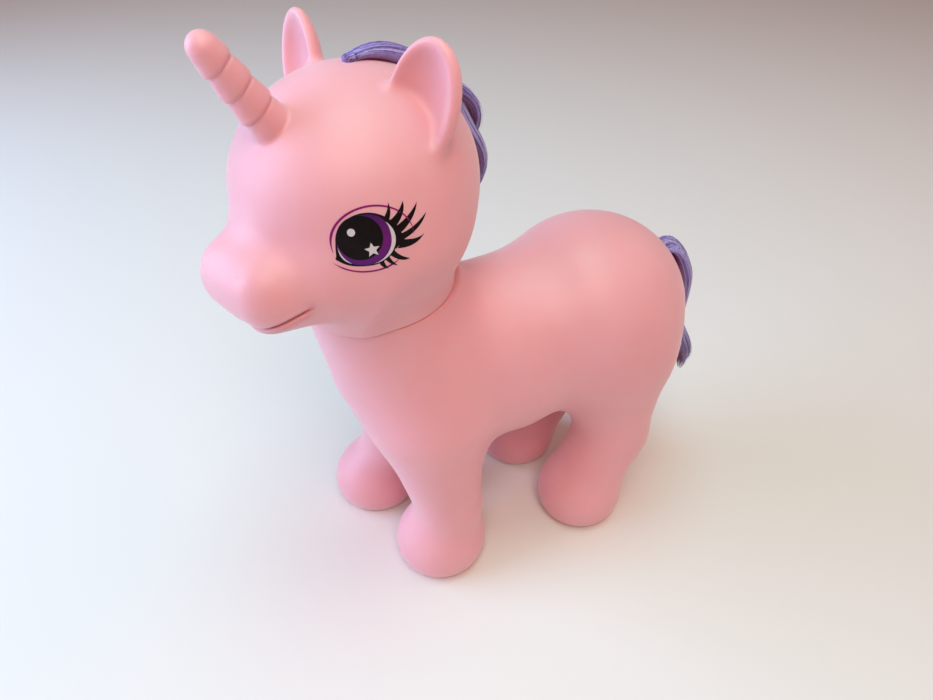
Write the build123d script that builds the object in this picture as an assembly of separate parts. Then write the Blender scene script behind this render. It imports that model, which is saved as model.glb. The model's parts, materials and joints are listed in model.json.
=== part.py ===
from build123d import *
import math
import os

# Toy unicorn in hollow soft vinyl, with a separate turning head and rooted hair.
# Millimetres. The toy faces -Y, its own left is +X, and it stands on z = 0.

# ---------------------------------------------------------------- driving sizes
WALL = 2.5                      # thickness of the moulded vinyl
CLEAR = 0.3                     # gap between pieces that move on each other
THROUGH = 1.0                   # how far a cut or a joined piece reaches past a face
BOX_CENTRE_X = 0.0              # middle of the toy's box in the layout below
BOX_CENTRE_Y = 4.28

# Torso stations from chest to rump: y, half width, lowest z, highest z
TORSO = [
    (-68, 7, 104, 120), (-66, 15, 96, 128), (-61, 25, 85, 138), (-50, 34, 75, 147),
    (-34, 38.5, 71, 154), (-10, 41, 69.5, 160), (20, 44.5, 70, 166.5), (50, 49, 75, 174),
    (64, 48.2, 77, 173.5), (78, 43.2, 82, 168.5), (90, 34.8, 90, 159.5),
    (98, 25, 100, 149.5), (102.5, 14.5, 110, 139.5), (104, 6, 119, 131),
]
# Left leg stations from sole up into the torso: z, x, y, radius
FRONT_LEG = [
    (0, 29, -41, 15), (1.5, 29, -41, 18.6), (5, 29, -41, 21.6), (11, 29, -41, 23),
    (19, 29, -40, 21.8), (28, 28.7, -38.5, 19), (38, 28, -37.5, 17), (48, 27, -37, 17.4),
    (60, 25.5, -38, 20), (74, 23.5, -40, 23), (89, 19.5, -42, 24), (103, 14, -43, 20),
    (113, 10, -43, 11),
]
REAR_LEG = [
    (0, 30.5, 46, 16), (1.5, 30.5, 46, 18.8), (5, 30.5, 46, 21.4), (11, 30.5, 46.5, 23),
    (19, 30.3, 48.5, 22.2), (29, 29, 54, 20), (39, 27.8, 60, 19), (50, 26.3, 65, 19.8),
    (62, 24, 66.5, 22.2), (76, 21, 65, 24.8), (92, 17, 62, 25.5), (107, 12, 60, 21),
    (117, 8, 60, 12),
]
FRONT_STEP = -22.0              # how much further forward the right front foot stands
REAR_STEP = -14.0               # the same for the right rear foot
STEP_FADES_AT = 90.0            # height where that step has died out

# Neck joint: centre of the seam, forward tilt of its axis, head turn at rest
SEAM_CENTRE = (0, -55.7, 168.0)
NECK_TILT = 6.0
HEAD_TURN = 25.5
HEAD_NOD = -3.0
NECK_RADIUS = 34.5
SPOOL_RADIUS = 22.5             # neck of the body inside the head's rim
FLANGE_RADIUS = 28.0            # lip that holds the head on
PLUG_BORE = 17.0                # open middle of the body's neck plug
RIM = 3.0                       # thickness of the head's bottom rim and of the lip
# Body side of the neck, from inside the chest up: y, height above the seam, radius
NECK_STUB = [(4, -62, 24), (5, -50, 33), (2.5, -34, 36.5), (0.5, -15, 36)]
# Head side of the neck, from the seam up: height above the seam, change of radius
COLLAR = [(6, 0.5), (20, -2)]

# Head centre above the seam, in the turned neck frame
HEAD_BACK = 0.8
HEAD_RISE = 52.0
HEAD_TOP_Z = 42.6               # crown of the head above its centre
# Head stations from snout to nape: y, half width, lowest z, highest z
HEAD = [
    (-68, 6, -24, -16.5), (-66.5, 13, -28, -12.5), (-62, 21.5, -33, -6.5), (-56, 26, -37, -1),
    (-48, 27.5, -38, 11), (-40, 30, -37.5, 24), (-32, 37, -39, 32.5), (-24, 43.5, -42.5, 37),
    (-12, 48.3, -46, 41), (0, 48.8, -46, HEAD_TOP_Z), (12, 46, -42.5, 41), (24, 40.8, -37, 37),
    (34, 34, -31, 31), (42, 24.8, -22.8, 22.8), (47, 15.2, -14, 14), (49.5, 6, -5.5, 5.5),
]

# Ears: base, tip, half width, half thickness
EAR_BASE = (30, 6, 24)
EAR_TIP = (37, 12, 55)
EAR_HALF_WIDTH = 13.0
EAR_HALF_THICK = 6.5
EAR_RIM = 3.0                   # rim left beside the hollow
EAR_ROLL = 34.4                 # outward lean of the ear's flat side, degrees
EAR_WIDEST = 0.42               # part of the length where it is widest
EAR_REACH = 0.58                # half height of the leaf, as a part of the length
EAR_CUP_REACH = 0.44            # the same for its hollow

# Horn: base on the brow, tip, radii, four swollen turns
HORN_BASE = (0, -29, 27)
HORN_TIP = (0, -47.5, 59.5)
HORN_BASE_RADIUS = 8.2
HORN_TIP_RADIUS = 6.0
HORN_TURNS = 4
HORN_OVERLAP = 1.1              # half height of a turn over the turn's pitch

# Mane: tufts side by side over the crown and the back of the head
MANE_TUFTS = 5
MANE_TUFT_WIDTH = 5.4
MANE_PITCH = 6.0
MANE_THICK = 8.0
MANE_FRONT_Y = 5.0
MANE_BACK_Y = 85.0
MANE_TOP_Z = 65.0
MANE_LEAN = 8.0                 # the tufts lean to the left on their way down, degrees
MANE_ENDS_Z = [-24, -19, -27, -21, -25]

# Tail: its stem leaves the rump at a right angle through a hole
TAIL_PLACE = (0, 100.2, 145.0)  # where the stem's axis meets the rump
TAIL_RISE = 22.0                # upward lean of the stem, degrees
TAIL_HOLE_RADIUS = 4.0
TAIL_STEM_RADIUS = 3.7
TAIL_STEM_IN = 15.0             # stem's length inside the rump's skin
TAIL_STEM_OUT = 5.0             # and outside it
TAIL_KNOT_RADIUS = 7.0
TAIL_KNOT_IN = 17.0             # knot's middle, below the rump's skin
TAIL_BAND_OUT = 2.6             # band's middle, above the rump's skin
TAIL_BAND_WIDTH = 2.4
TAIL_BAND_THICK = 1.25
TAIL_BAND_GAP = 0.05
# Strands that hang from it, top to tip: x, y, z, radius
TAIL_STRANDS = [
    [(-6, 104.5, 150, 2), (-7, 109.5, 143, 4), (-8, 112, 128, 4.6), (-8, 112, 110, 4.6),
     (-6, 112, 92, 3.6), (-7, 118, 78, 1.5)],
    [(6, 104.5, 150.5, 2), (7, 109.5, 143.5, 4), (8, 112.5, 128, 4.6), (8, 113, 110, 4.6),
     (7, 115, 88, 3.8), (9, 123, 70, 1.5)],
    [(0, 107.5, 153, 2), (0, 113, 146, 4), (0, 121, 132, 4.4), (0, 127, 116, 4.4),
     (0, 129.85, 92, 3.6), (1, 131, 66, 1.5)],
]


# ---------------------------------------------------------------- shared helpers
def ellipse_station(y, half_width, low, high, skin):
    """One upright ellipse of a body that runs along Y, moved in by skin."""
    plane = Plane(origin=(0, y, (low + high) / 2), x_dir=(1, 0, 0), z_dir=(0, 1, 0))
    return plane * Ellipse(max(half_width - skin, 1.5), max((high - low) / 2 - skin, 1.5))


def body_along_y(stations, skin=0.0):
    """Smooth form through the stations, shortened by skin at both ends."""
    first = stations[0][0] + skin
    last = stations[-1][0] - skin
    middle = (first + last) / 2
    reach = (last - first) / (stations[-1][0] - stations[0][0])
    centre = (stations[0][0] + stations[-1][0]) / 2
    return loft([
        ellipse_station(middle + (y - centre) * reach, half, low, high, skin)
        for y, half, low, high in stations
    ])


def round_form(stations, skin=0.0):
    """Smooth form through level circles given as x, y, z, radius."""
    return loft([
        Plane(origin=(x, y, z)) * Circle(max(radius - skin, 1.0)) for x, y, z, radius in stations
    ])


def leg(stations, side, step, skin=0.0):
    """One leg: side is +1 for the left, step moves the foot along Y."""
    lift = skin
    top = stations[-1][0]
    rows = []
    for z, x, y, radius in stations:
        shift = step * max(0.0, 1 - z / STEP_FADES_AT) if side < 0 else 0.0
        rows.append((side * x, y + shift, lift + z * (top - lift) / top, radius))
    return round_form(rows, skin)


def ellipsoid(radii):
    """Ball stretched to three radii."""
    return scale(Sphere(1.0), by=radii)


def neck_plane():
    """Seam plane: origin at the seam's centre, Z along the neck's axis."""
    tilt = math.radians(NECK_TILT)
    return Plane(
        origin=SEAM_CENTRE,
        x_dir=(1, 0, 0),
        z_dir=(0, -math.sin(tilt), math.cos(tilt)),
    )


def tail_plane():
    """Plane on the rump's skin at the tail: Z along the tail's stem."""
    rise = math.radians(TAIL_RISE)
    return Plane(origin=TAIL_PLACE, x_dir=(1, 0, 0), z_dir=(0, math.cos(rise), math.sin(rise)))


def head_location():
    """Where the head sits: turned about the neck's axis, then raised."""
    seam = neck_plane().location
    return seam * Rot(0, 0, HEAD_TURN) * Pos(0, HEAD_BACK, HEAD_RISE) * Rot(HEAD_NOD, 0, 0)


def disc(radius, low, high):
    """Round slab along Z between two heights."""
    return Pos(0, 0, (low + high) / 2) * Cylinder(radius, high - low)


# ---------------------------------------------------------------- body
def body_form(skin=0.0):
    """Torso, four legs and the neck stub as one closed form."""
    form = body_along_y(TORSO, skin)
    for side in (1, -1):
        form = form + leg(FRONT_LEG, side, FRONT_STEP, skin)
        form = form + leg(REAR_LEG, side, REAR_STEP, skin)
    rings = [Plane(origin=(0, y, z)) * Circle(radius - skin) for y, z, radius in NECK_STUB]
    rings.append(Plane(origin=(0, 0, -CLEAR - skin)) * Circle(NECK_RADIUS - skin))
    return form + neck_plane().location * loft(rings)


def body_shell():
    """Hollow body with the lipped plug that the head snaps over."""
    lip = RIM + CLEAR
    plug = disc(SPOOL_RADIUS, -CLEAR - THROUGH, lip) + disc(FLANGE_RADIUS, lip, lip + RIM)
    shell = body_form() + neck_plane().location * plug
    shell = shell - body_form(WALL)
    shell = shell - neck_plane().location * disc(PLUG_BORE, -2 * WALL, lip + RIM + THROUGH)
    return shell - tail_plane().location * disc(TAIL_HOLE_RADIUS, -TAIL_STEM_IN, TAIL_STEM_IN)


# ---------------------------------------------------------------- head
def ear(side):
    """Leaf-shaped ear with a hollowed front."""
    base = Vector(side * EAR_BASE[0], EAR_BASE[1], EAR_BASE[2])
    tip = Vector(side * EAR_TIP[0], EAR_TIP[1], EAR_TIP[2])
    length = (tip - base).length
    roll = math.radians(EAR_ROLL)
    frame = Plane(origin=base, x_dir=(math.cos(roll), 0, -side * math.sin(roll)), z_dir=tip - base)
    widest = length * EAR_WIDEST
    leaf = Pos(0, 0, widest) * ellipsoid((EAR_HALF_WIDTH, EAR_HALF_THICK, length * EAR_REACH))
    cup_radii = (EAR_HALF_WIDTH - EAR_RIM, EAR_HALF_THICK, length * EAR_CUP_REACH)
    cup = Pos(0, -EAR_HALF_THICK, widest) * ellipsoid(cup_radii)
    return frame.location * (leaf - cup)


def horn():
    """Blunt horn of four swollen turns."""
    base = Vector(*HORN_BASE)
    axis = Vector(*HORN_TIP) - base
    frame = Plane(origin=base, x_dir=(1, 0, 0), z_dir=axis)
    length = axis.length
    turn_length = length / HORN_TURNS
    form = None
    for index in range(HORN_TURNS):
        part = (index + 0.5) / HORN_TURNS
        radius = HORN_BASE_RADIUS + (HORN_TIP_RADIUS - HORN_BASE_RADIUS) * part
        bead = ellipsoid((radius, radius, turn_length * HORN_OVERLAP))
        bead = Pos(0, 0, turn_length * (index + 0.5)) * bead
        form = bead if form is None else form + bead
    return frame.location * form


def head_form(skin=0.0):
    """Head and its short collar down to the seam, as one closed form."""
    skull = head_location() * body_along_y(HEAD, skin)
    rings = [Plane(origin=(0, 0, skin)) * Circle(NECK_RADIUS - skin)]
    for height, wider in COLLAR:
        rings.append(Plane(origin=(0, 0, height)) * Circle(NECK_RADIUS + wider - skin))
    return skull + neck_plane().location * loft(rings)


def head_shell():
    """Hollow head with ears and horn, open at the rim that holds the plug."""
    shell = head_form()
    for side in (1, -1):
        shell = shell + head_location() * ear(side)
    shell = shell + head_location() * horn()
    shell = shell - head_form(RIM)
    return shell - neck_plane().location * disc(SPOOL_RADIUS + CLEAR, -THROUGH, RIM + THROUGH)


# ---------------------------------------------------------------- hair
def mane_tuft(index):
    """One flat tuft that lies over the crown and down the back of the head."""
    layer = body_along_y(HEAD, -MANE_THICK) - body_along_y(HEAD, -CLEAR)
    middle = (index - (MANE_TUFTS - 1) / 2) * MANE_PITCH
    end = MANE_ENDS_Z[index]
    centre = Pos(middle, (MANE_FRONT_Y + MANE_BACK_Y) / 2, (MANE_TOP_Z + end) / 2)
    keep = centre * Box(MANE_TUFT_WIDTH, MANE_BACK_Y - MANE_FRONT_Y, MANE_TOP_Z - end)
    lean = Pos(0, 0, HEAD_TOP_Z) * Rot(0, -MANE_LEAN, 0) * Pos(0, 0, -HEAD_TOP_Z)
    return head_location() * (layer & lean * keep)


def tail_root():
    """Tied stem of the tail: a band outside, a knot inside that holds it in."""
    stem = disc(TAIL_STEM_RADIUS, -TAIL_STEM_IN, TAIL_STEM_OUT)
    knot = Pos(0, 0, -TAIL_KNOT_IN) * Sphere(TAIL_KNOT_RADIUS)
    return tail_plane().location * (stem + knot)


def tail_band():
    """Thin band wound round the stem outside the rump."""
    bore = TAIL_STEM_RADIUS + TAIL_BAND_GAP
    ring = Cylinder(bore + TAIL_BAND_THICK, TAIL_BAND_WIDTH) - Cylinder(bore, TAIL_BAND_WIDTH + THROUGH)
    return tail_plane().location * Pos(0, 0, TAIL_BAND_OUT) * ring


# ---------------------------------------------------------------- output
def save(name, shape):
    """Write one piece, moved so that the toy's box is centred over the origin."""
    placed = Pos(-BOX_CENTRE_X, -BOX_CENTRE_Y, 0) * shape
    solids = placed.solids()
    placed = solids[0] if len(solids) == 1 else Compound(solids)
    export_step(placed, os.path.join("parts", name + ".step"))
    box = placed.bounding_box()
    print(name, len(solids), "solid, box", box.min, box.max)


os.makedirs("parts", exist_ok=True)
save("body_shell", body_shell())
save("head_shell", head_shell())
for number in range(MANE_TUFTS):
    save("mane_tuft_%d" % (number + 1), mane_tuft(number))
save("tail_root", tail_root())
save("tail_band", tail_band())
for number, strand in enumerate(TAIL_STRANDS):
    save("tail_strand_%d" % (number + 1), round_form(strand))
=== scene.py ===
import json
import math

import bmesh
import bpy
import numpy as np
from mathutils import Matrix, Vector


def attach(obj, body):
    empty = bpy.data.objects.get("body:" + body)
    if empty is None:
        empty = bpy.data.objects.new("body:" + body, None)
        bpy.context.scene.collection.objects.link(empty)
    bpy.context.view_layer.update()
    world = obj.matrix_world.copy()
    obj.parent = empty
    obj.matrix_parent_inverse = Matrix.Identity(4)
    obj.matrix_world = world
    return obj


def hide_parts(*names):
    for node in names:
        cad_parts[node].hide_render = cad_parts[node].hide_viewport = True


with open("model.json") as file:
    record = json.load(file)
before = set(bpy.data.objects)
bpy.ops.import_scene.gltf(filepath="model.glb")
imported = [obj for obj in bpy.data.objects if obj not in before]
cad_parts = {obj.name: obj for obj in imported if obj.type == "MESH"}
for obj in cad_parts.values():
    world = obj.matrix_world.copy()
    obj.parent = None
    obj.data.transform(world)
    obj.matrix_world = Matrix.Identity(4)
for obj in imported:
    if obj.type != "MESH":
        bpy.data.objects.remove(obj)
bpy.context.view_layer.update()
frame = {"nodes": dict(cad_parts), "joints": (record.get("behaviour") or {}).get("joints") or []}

# ------------------------------------------------------------------ driving sizes
# The toy stands on its feet, faces -Y and has its left side at +X. Shapes are set out in
# millimetres about the middle of the belly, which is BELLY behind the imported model's origin.
MM = 0.001
JOINT = next(joint for joint in frame["joints"] if joint["name"] == "head_turn")
PIVOT = np.array(JOINT["pos_m"]) / MM               # where head and body meet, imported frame
BELLY = 4.28
SEAM = PIVOT + np.array((0, BELLY, 0))
NECK_TILT = math.degrees(math.asin(-JOINT["axis"][1]))
HEAD_TURN = 25.5                                    # degrees, to the toy's own left
HEAD_NOD = -3.0                                     # degrees, below zero lifts the muzzle
HEAD_BACK = 0.8                                     # middle of the skull behind the neck's axis
HEAD_RISE = 52.0                                    # middle of the skull over the seam
NECK_RADIUS = 34.5                                  # of the body's neck at the seam

HEAD_STEP = 0.65             # size of a mesh face on the head
BODY_STEP = 1.2              # and on the body
STRANDS = 560                # separate fibres in a lock of hair


# ------------------------------------------------------------------ solids as distances
# Each returns a distance in millimetres to its surface, below zero inside.
def ball(p, centre, radius):
    return np.linalg.norm(p - np.asarray(centre, p.dtype), axis=-1) - radius


def egg(p, centre, radii):
    """An ellipsoid."""
    q = p - np.asarray(centre, p.dtype)
    radii = np.asarray(radii, p.dtype)
    inner = np.linalg.norm(q / radii, axis=-1)
    slope = np.linalg.norm(q / radii ** 2, axis=-1)
    return inner * (inner - 1) / np.maximum(slope, 1e-6)


def limb(p, a, b, radius_a, radius_b):
    """A cone from a to b with round ends."""
    a = np.asarray(a, p.dtype)
    b = np.asarray(b, p.dtype)
    length = float(np.linalg.norm(b - a))
    axis = (b - a) / length
    q = p - a
    along = q @ axis
    across = np.sqrt(np.maximum(np.sum(q * q, axis=-1) - along * along, 0))
    lean = (radius_a - radius_b) / length
    upright = math.sqrt(1 - lean * lean)
    side = upright * along - lean * across
    end_a = np.hypot(across, along) - radius_a
    end_b = np.hypot(across, along - length) - radius_b
    flank = upright * across + lean * along - radius_a
    return np.where(side < 0, end_a, np.where(side > upright * length, end_b, flank))


def join(a, b, blend):
    """Two shapes as one, with a fillet between them where they are less than blend apart."""
    near = np.maximum(blend - np.abs(a - b), 0) / blend
    return np.minimum(a, b) - near * near * blend / 4


def cut(a, b, blend):
    """Shape a with shape b taken out of it."""
    return -join(-a, b, blend)


def both(a, b, blend):
    """What lies inside a and b alike."""
    return -join(-a, -b, blend)


def smooth(t):
    """Goes from 0 to 1 with level ends."""
    t = np.clip(t, 0, 1)
    return t * t * (3 - 2 * t)


def ridge(off, half_width):
    """1 on a line, and less by a bell curve to both sides of it."""
    return np.exp(-(off / half_width) ** 2)


def mirrored(q):
    """Folds the right side over the left, so that a shape is made on both."""
    return np.stack([np.abs(q[..., 0]), q[..., 1], q[..., 2]], -1)


def about_x(degrees):
    return np.array(Matrix.Rotation(math.radians(degrees), 3, "X"))


def about_z(degrees):
    return np.array(Matrix.Rotation(math.radians(degrees), 3, "Z"))


NECK = about_x(NECK_TILT)
NECK_AXIS = NECK[:, 2]
HEAD_AXES = NECK @ about_z(HEAD_TURN) @ about_x(HEAD_NOD)
HEAD_CENTRE = SEAM + NECK @ about_z(HEAD_TURN) @ np.array((0, HEAD_BACK, HEAD_RISE))


def to_head(p):
    return (p - HEAD_CENTRE.astype(p.dtype)) @ HEAD_AXES.astype(p.dtype)


def from_head(q):
    return q @ HEAD_AXES.T + HEAD_CENTRE


# ------------------------------------------------------------------ the head, in its own axes
# x to the toy's left, y to the back, z up, from the middle of the skull. A limb is its two ends and
# their radii. Each _BLEND is the width of the fillet between a part and the rest of the head.
SKULL = ((0, 0, 0), (46.8, 49.5, 42.6))
CHEEK = ((21.5, -7.6, -20.8), 27.0)
CHEEK_BLEND = 14
BROW = ((0, -27, -13), 16.5)
BROW_BLEND = 16

BRIDGE = ((0, -30, -14), (0, -50, -20), 18, 13)
BRIDGE_BLEND = 14
FLANK = ((17, -33, -19), (11, -47, -22), 17, 12)    # beside the bridge
FLANK_BLEND = 8
NOSE_HALF = 10.6
NOSE = ((-NOSE_HALF, -56.9, -16.6), (NOSE_HALF, -56.9, -16.6), 9.2, 9.2)
UPPER_LIP = ((-NOSE_HALF, -56.0, -22.8), (NOSE_HALF, -56.0, -22.8), 9.5, 9.5)
LIP_TO_NOSE = 6
NOSE_BLEND = 12
JAW = ((7.5, -54.2, -31.6), (17, -39, -28.0), 7.5, 8.8)
JAW_BLEND = 4
CHIN_ROUND = 4                                      # rounds the jaw's two halves into one chin
NOSTRIL = ((10.9, -64.4, -9.1), (1.9, 0.5, 0.45))
NOSTRIL_BLEND = 0.9

MOUTH_CORNER = (27.9, -49.9, -23.1)
SMILE_DROP = 33.0                                   # middle of the mouth under the middle of the skull
SMILE_SPREAD = 75.0                                 # the larger, the flatter the smile
SMILE_END = 46.8                                    # ends this far in front of the middle of the skull
SMILE_FADE = 3.5
CREASE_DEPTH = 1.1
CREASE_WIDTH = 0.6
LOWER_LIP = 0.55                                    # how far the lower lip swells
LOWER_LIP_DROP = 3.0
LOWER_LIP_WIDTH = 2.0
DIMPLE_RADIUS = 1.3
DIMPLE_BLEND = 1.6


def smile_height(q):
    """Height over the line of the mouth, and how much of that line is left at a point."""
    height = q[..., 2] + SMILE_DROP - q[..., 0] ** 2 / SMILE_SPREAD
    return height, smooth((-q[..., 1] - SMILE_END) / SMILE_FADE)


def mouth(q, m, skin_distance):
    """A soft crease with a dimple at each end and a rounded lower lip under it."""
    smile, here = smile_height(q)
    crease = CREASE_DEPTH * ridge(smile, CREASE_WIDTH) * here
    lip = LOWER_LIP * ridge(smile + LOWER_LIP_DROP, LOWER_LIP_WIDTH) * here
    return cut(skin_distance + crease - lip, ball(m, MOUTH_CORNER, DIMPLE_RADIUS), DIMPLE_BLEND)


def face(q):
    m = mirrored(q)
    d = egg(q, *SKULL)
    d = join(d, ball(m, *CHEEK), CHEEK_BLEND)
    d = join(d, ball(q, *BROW), BROW_BLEND)
    d = join(d, limb(q, *BRIDGE), BRIDGE_BLEND)
    d = join(d, limb(m, *FLANK), FLANK_BLEND)
    d = join(d, join(limb(q, *NOSE), limb(q, *UPPER_LIP), LIP_TO_NOSE), NOSE_BLEND)
    rounded = np.stack([np.hypot(q[..., 0], CHIN_ROUND), q[..., 1], q[..., 2]], -1)
    d = join(d, limb(rounded, *JAW), JAW_BLEND)
    return cut(mouth(q, m, d), egg(m, *NOSTRIL), NOSTRIL_BLEND)


# Each ear is a thick leaf, flat in front and scooped, in axes of its own: across, forward, up.
EAR_FOOT = np.array((31.15, 4.7, 28.55))
EAR_UP = np.array((0.205, 0.280, 0.938))
EAR_WIDE = np.array((0.950, 0.175, -0.260))
EAR_LEAF = ((2.0, 0.0, 5.0), (14.4, 9.2, 23.0))
EAR_CUP = ((0.8, 6.9, 2.8), (13.1, 12.4, 24.2))
EAR_FRONT = 2.4                                     # forward of the leaf's middle, where it is cut flat
EAR_EDGE = 5                                        # rounding of the leaf's rim
EAR_CUP_EDGE = 2.4                                  # and of the scoop's
EAR_BLEND = 4


def ear(q):
    wide = EAR_WIDE - EAR_UP * (EAR_WIDE @ EAR_UP)
    wide = wide / np.linalg.norm(wide)
    forward = np.cross(wide, EAR_UP)
    axes = np.stack([wide, forward, EAR_UP], 1)
    r = (mirrored(q) - EAR_FOOT.astype(q.dtype)) @ axes.astype(q.dtype)
    d = both(egg(r, *EAR_LEAF), r[..., 1] - EAR_FRONT, EAR_EDGE)
    return cut(d, egg(r, *EAR_CUP), EAR_CUP_EDGE)


HORN_FOOT = np.array((0, -29.0, 27.0))
HORN_TIP = np.array((0, -47.9, 61.2))
HORN_RADII = (7.4, 5.0)
HORN_BLEND = 1.5
TURN_PITCH = 9.6
TURN_LEAN = math.tan(math.radians(16))
LEAN_LEFT = 0.94                                    # the grooves climb to the left,
LEAN_BACK = 0.34                                    # and a little to the back
FIRST_TURN = 12.5                                   # from the tip to the first groove
TURN_SWELL = 0.98                                   # each turn widens towards the foot, then steps in
STEP_SHARPNESS = 8
GROOVE_DEPTH = 0.45
GROOVE_WIDTH = 0.6


def horn(q):
    along = HORN_TIP - HORN_FOOT
    length = np.linalg.norm(along)
    axis = along / length
    left = np.array((1, 0, 0))
    leaning_side = LEAN_LEFT * left + LEAN_BACK * np.cross(axis, left)
    r = q - HORN_FOOT.astype(q.dtype)
    height = r @ (axis - TURN_LEAN * leaning_side).astype(q.dtype)
    turns = (length + HORN_RADII[1] - FIRST_TURN - height) / TURN_PITCH
    part = np.where(turns < 0, np.maximum(turns + 1, 0), turns - np.floor(turns))
    swell = TURN_SWELL * part * (1 - part ** STEP_SHARPNESS)
    off = (turns - np.round(turns)) * TURN_PITCH
    groove = np.where(turns > -0.5, GROOVE_DEPTH * ridge(off, GROOVE_WIDTH), 0)
    return limb(q, HORN_FOOT, HORN_TIP, *HORN_RADII) + groove - swell


def about_neck(p):
    """Height over the seam along the neck's axis, and distance from that axis."""
    r = p - SEAM.astype(p.dtype)
    height = r @ NECK_AXIS.astype(p.dtype)
    out = np.sqrt(np.maximum(np.sum(r * r, axis=-1) - height * height, 0))
    return height, out


NECK_LIMB = (0.5, 30)                               # heights over the seam of the neck inside the head
NECK_LIMB_RADII = (35, 37)
NECK_BLEND = 21
RIM_PROUD = 0.2                                     # the rim stands this far out from the body's neck
RIM_FLARE = 0.72                                    # how fast the head widens over its collar
RIM_EDGE = 0.5
COLLAR = 9.0                                        # height of the plain collar over the seam
COLLAR_ROUND = 5
FLARE_BLEND = 6
MUZZLE_FREE = 40.0                                  # lets the muzzle reach out past that flare,
MUZZLE_START = 8.0                                  # from here forward
MUZZLE_LENGTH = 45.0
RIM_GAP = 0.15                                      # from the seam's plane to the rim, and to the body


def head(p):
    q = to_head(p)
    height, out = about_neck(p)
    low, high = (SEAM + NECK_AXIS * rise for rise in NECK_LIMB)
    d = join(face(q), limb(p, low, high, *NECK_LIMB_RADII), NECK_BLEND)
    d = join(d, ear(q), EAR_BLEND)
    d = join(d, horn(q), HORN_BLEND)
    over = (height - COLLAR + np.hypot(height - COLLAR, COLLAR_ROUND)) / 2
    flare = (out - NECK_RADIUS - RIM_PROUD - RIM_FLARE * over) / math.hypot(1, RIM_FLARE)
    flare = flare - MUZZLE_FREE * smooth((-q[..., 1] - MUZZLE_START) / MUZZLE_LENGTH) ** 2
    return both(both(d, flare, FLARE_BLEND), RIM_GAP - height, RIM_EDGE)


# ------------------------------------------------------------------ the body
CHEST = ((0, -44.5, 112), (33, 24.5, 41))
BACK = ((0, 2.8, 114.8), (42.7, 48, 47.2))
BACK_BLEND = 22
RUMP = ((0, 53.7, 125.3), (49.3, 51, 49.4))
RUMP_BLEND = 15
NECK_FOOT = (0, -45.7, 128)
NECK_FOOT_RADIUS = 37
NECK_TOP = 4                                        # over the seam, before the plane cuts it off
THROAT_BLEND = 19
NECK_EDGE = 0.8
NECK_REACH = 55                                     # the seam's plane cuts only this near to its axis
BEYOND_NECK = -8
SOLE_EDGE = 4                                       # rounding where a hoof meets the floor

# "step" is how far the right foot stands forward of the left.
FRONT_LEG = {"top": (22, -41.5, 96), "ankle": (28.4, -36.2, 38), "foot": (28.4, -41.0, 11.5),
             "radii": (26.4, 17.0), "hoof": (23.4, 24.2, 21), "step": -20}
REAR_LEG = {"top": (16, 62.8, 100), "ankle": (26.3, 64.2, 55), "foot": (28.6, 46.6, 11.2),
            "radii": (30.6, 19.4), "hoof": (21.9, 22.3, 20.4), "step": -14}
LEG_BLEND = 18
ANKLE_BLEND = 6
ANKLE_STEP = 0.6                                    # the ankle takes this share of the foot's step
SHIN_END = 3                                        # over the middle of the hoof
SHIN_WIDENS = 1.5
HOOF_BLEND = 10


def leg(p, side, size):
    step = size["step"] if side < 0 else 0
    top = np.array(size["top"], float) * (side, 1, 1)
    ankle = np.array(size["ankle"], float) * (side, 1, 1) + (0, step * ANKLE_STEP, 0)
    foot = np.array(size["foot"], float) * (side, 1, 1) + (0, step, 0)
    upper, lower = size["radii"]
    thigh = limb(p, top, ankle, upper, lower)
    shin = limb(p, ankle, foot + (0, 0, SHIN_END), lower, lower + SHIN_WIDENS)
    return join(join(thigh, shin, ANKLE_BLEND), egg(p, foot, size["hoof"]), HOOF_BLEND)


def body(p):
    d = join(egg(p, *CHEST), egg(p, *BACK), BACK_BLEND)
    d = join(d, egg(p, *RUMP), RUMP_BLEND)
    neck = limb(p, NECK_FOOT, SEAM + NECK_AXIS * NECK_TOP, NECK_FOOT_RADIUS, NECK_RADIUS)
    d = join(d, neck, THROAT_BLEND)
    for side in (1, -1):
        for size in (FRONT_LEG, REAR_LEG):
            d = join(d, leg(p, side, size), LEG_BLEND)
    height, out = about_neck(p)
    d = both(d, np.where(out < NECK_REACH, height + RIM_GAP, BEYOND_NECK), NECK_EDGE)
    return both(d, -p[..., 2], SOLE_EDGE)


# ------------------------------------------------------------------ from distances to meshes
CHUNK = 300_000                                     # points measured at a time
PROBE = 0.05                                        # step that a slope is measured over
BLOCK = 6                                           # mesh steps along a side of a coarse block
BLOCK_REACH = 1.3                                   # blocks this near to the surface are refined,
REACH_MORE = 1.5                                    # and this much more in millimetres


def sampled(shape, points):
    out = np.empty(len(points), np.float32)
    for start in range(0, len(points), CHUNK):
        out[start:start + CHUNK] = shape(points[start:start + CHUNK])
    return out


def slope_of(shape, points, value):
    slope = np.empty_like(points)
    for axis in range(3):
        shifted = points.copy()
        shifted[:, axis] += PROBE
        slope[:, axis] = (shape(shifted) - value) / PROBE
    return slope


def on_surface(shape, points):
    """Moves points near a surface onto it, in two steps along the slope."""
    points = points.astype(np.float64)
    for _ in range(2):
        value = shape(points)
        slope = slope_of(shape, points, value)
        size = np.maximum(np.sum(slope * slope, axis=-1), 0.05)
        points = points - slope * (value / size)[:, None]
    return points


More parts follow.
